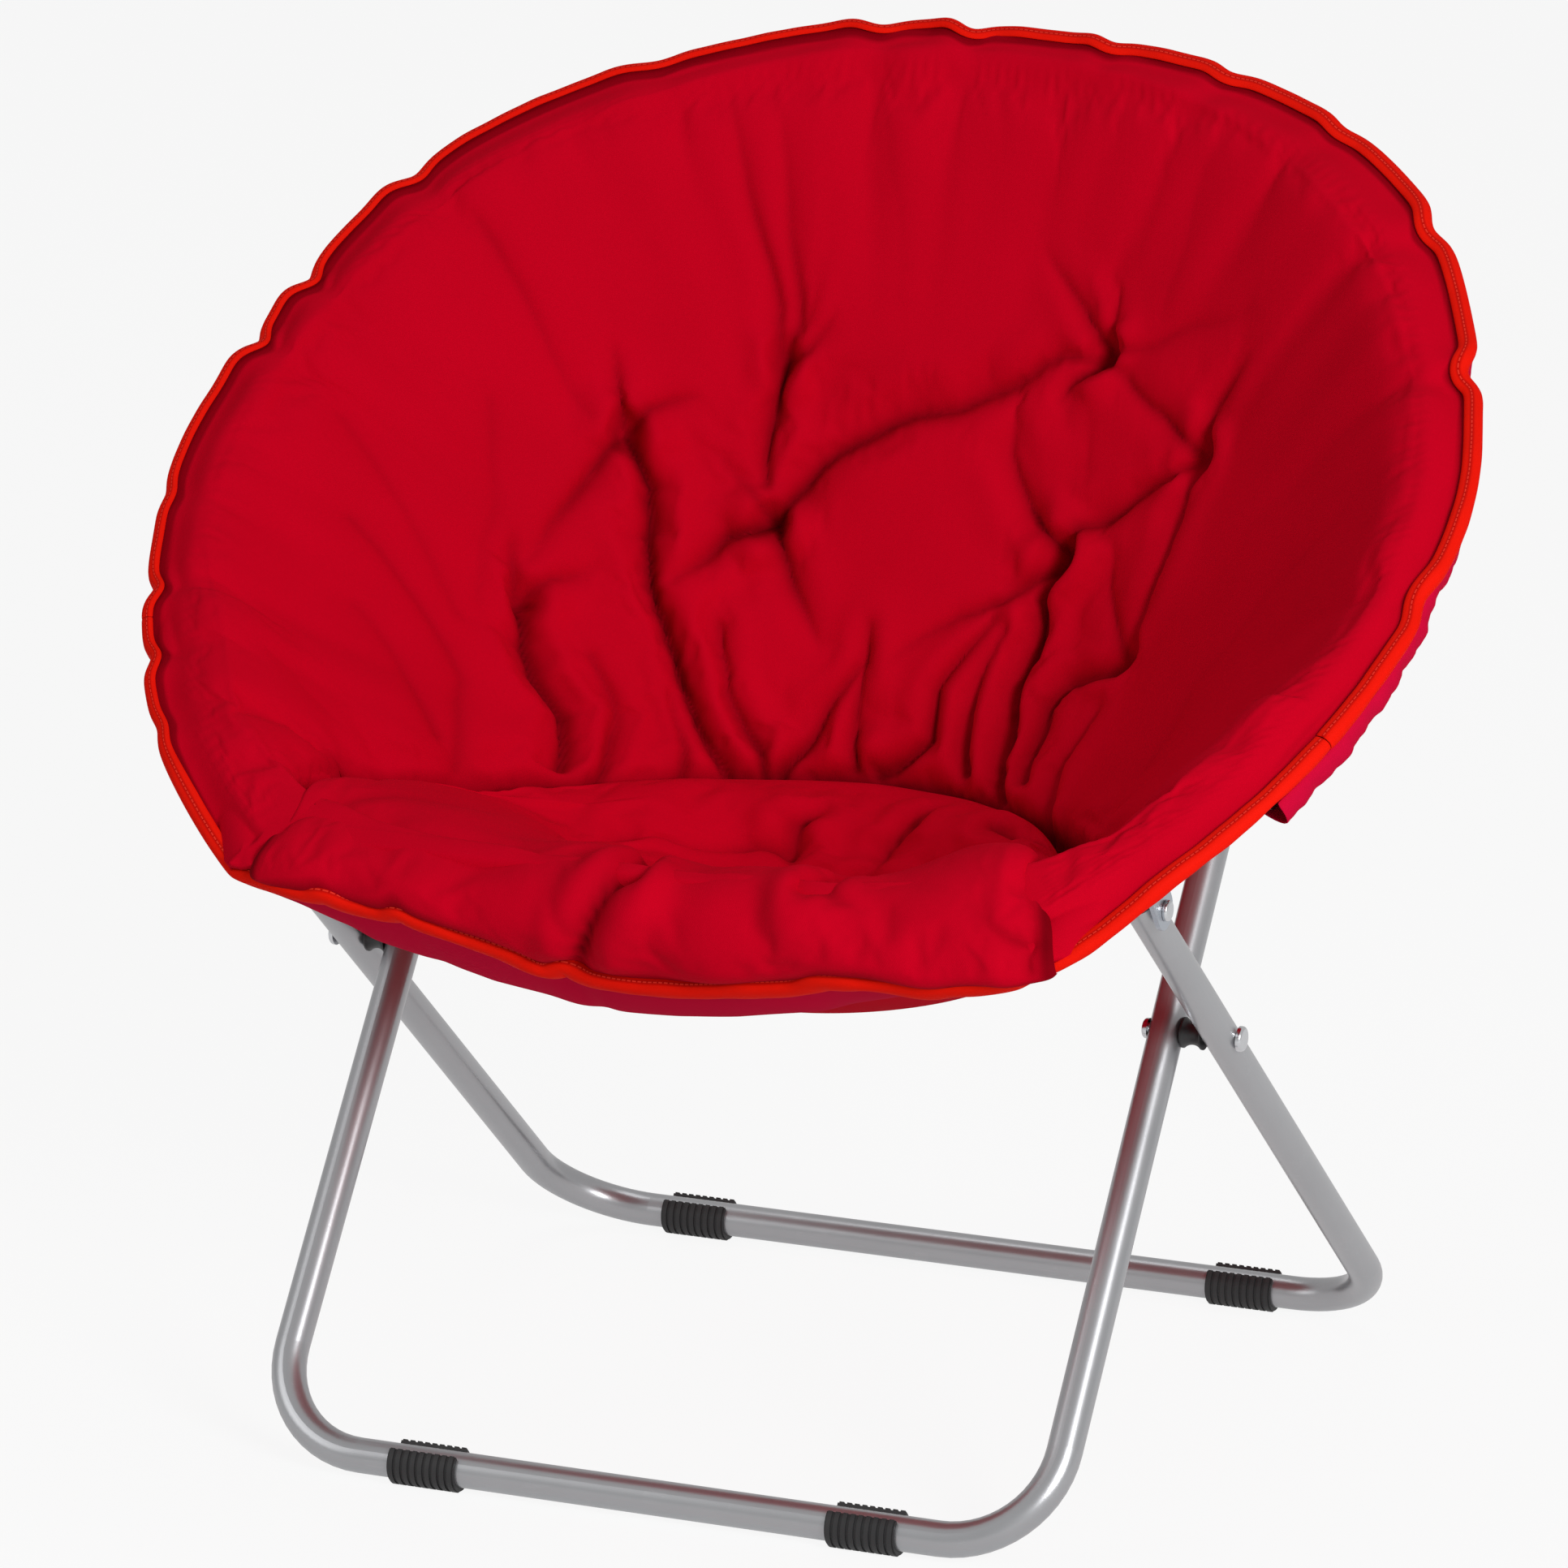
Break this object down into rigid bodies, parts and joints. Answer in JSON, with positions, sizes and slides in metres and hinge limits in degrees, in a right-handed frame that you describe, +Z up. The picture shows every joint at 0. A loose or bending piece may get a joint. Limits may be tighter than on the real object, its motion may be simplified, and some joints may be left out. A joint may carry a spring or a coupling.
{
  "type": "folding saucer chair",
  "caption": "Folding saucer chair: padded round bowl on a hinged tube rim over crossed U-shaped legs, with a padded front roll and ribbed feet.",
  "frame": {"origin": "on the floor, under the middle of the chair's outline", "axes": "+Z up, -Y towards the front, where the legs of the person who sits hang over the roll, +X to the right seen from the front"},
  "size_m": [0.842, 0.6201, 0.8441],
  "materials": {
    "silver_tube": "satin silver-grey powder coat",
    "black_plastic": "matt black moulding",
    "black_rubber": "matt ribbed rubber",
    "zinc_steel": "zinc-plated pressed steel",
    "bright_steel": "bright rivets, bolts and pins",
    "padded_fabric": "soft red brushed polyester over filling",
    "binding_tape": "orange-red woven edge tape",
    "shell_fabric": "crimson woven polyester"
  },
  "bodies": {
    "inner_leg": {"inner_leg": "silver_tube", "inner_leg_plug_left": "black_plastic", "inner_leg_plug_right": "black_plastic", "scissor_bolt_left": "bright_steel", "scissor_bolt_right": "bright_steel", "scissor_spacer_left": "black_plastic", "scissor_spacer_right": "black_plastic", "back_ear_pin_left": "bright_steel", "back_ear_pin_right": "bright_steel", "front_foot_left": "black_rubber", "front_foot_right": "black_rubber"},
    "outer_leg": {"outer_leg": "silver_tube", "outer_leg_plug_left": "black_plastic", "outer_leg_plug_right": "black_plastic", "front_ear_pin_left": "bright_steel", "front_ear_pin_right": "bright_steel", "rear_foot_left": "black_rubber", "rear_foot_right": "black_rubber"},
    "back_rim": {"back_hoop": "silver_tube", "back_hinge_left": "black_plastic", "back_hinge_right": "black_plastic", "back_hinge_pin_left": "bright_steel", "back_hinge_pin_right": "bright_steel", "back_ear_left": "zinc_steel", "back_ear_right": "zinc_steel", "back_pad": "padded_fabric", "back_binding": "binding_tape", "back_pocket": "shell_fabric"},
    "front_rim": {"front_hoop": "silver_tube", "front_hinge_left": "black_plastic", "front_hinge_right": "black_plastic", "front_hinge_pin_left": "bright_steel", "front_hinge_pin_right": "bright_steel", "front_ear_left": "zinc_steel", "front_ear_right": "zinc_steel", "seat_pad": "padded_fabric", "front_roll": "padded_fabric", "front_binding": "binding_tape", "front_pocket": "shell_fabric"}
  },
  "joints": [
    {"name": "scissor_fold", "type": "hinge", "parent": "inner_leg", "child": "outer_leg", "pos_m": [0, -0.069, 0.2836], "axis": [-1, 0, 0], "range_deg": [0, 60]},
    {"name": "back_rim_pivot", "type": "hinge", "parent": "inner_leg", "child": "back_rim", "pos_m": [0, 0.26217, 0.71518], "axis": [1, 0, 0], "range_deg": [0, 21], "deforming": ["back_pad", "back_binding", "back_pocket"]},
    {"name": "front_rim_pivot", "type": "hinge", "parent": "outer_leg", "child": "front_rim", "pos_m": [0, -0.20919, 0.40123], "axis": [-1, 0, 0], "range_deg": [0, 86], "deforming": ["seat_pad", "front_roll", "front_binding", "front_pocket"]}
  ],
  "couplings": [
    {"joint": "back_rim_pivot", "follows": "scissor_fold", "ratio": 0.34714},
    {"joint": "front_rim_pivot", "follows": "scissor_fold", "ratio": 1.4211}
  ]
}
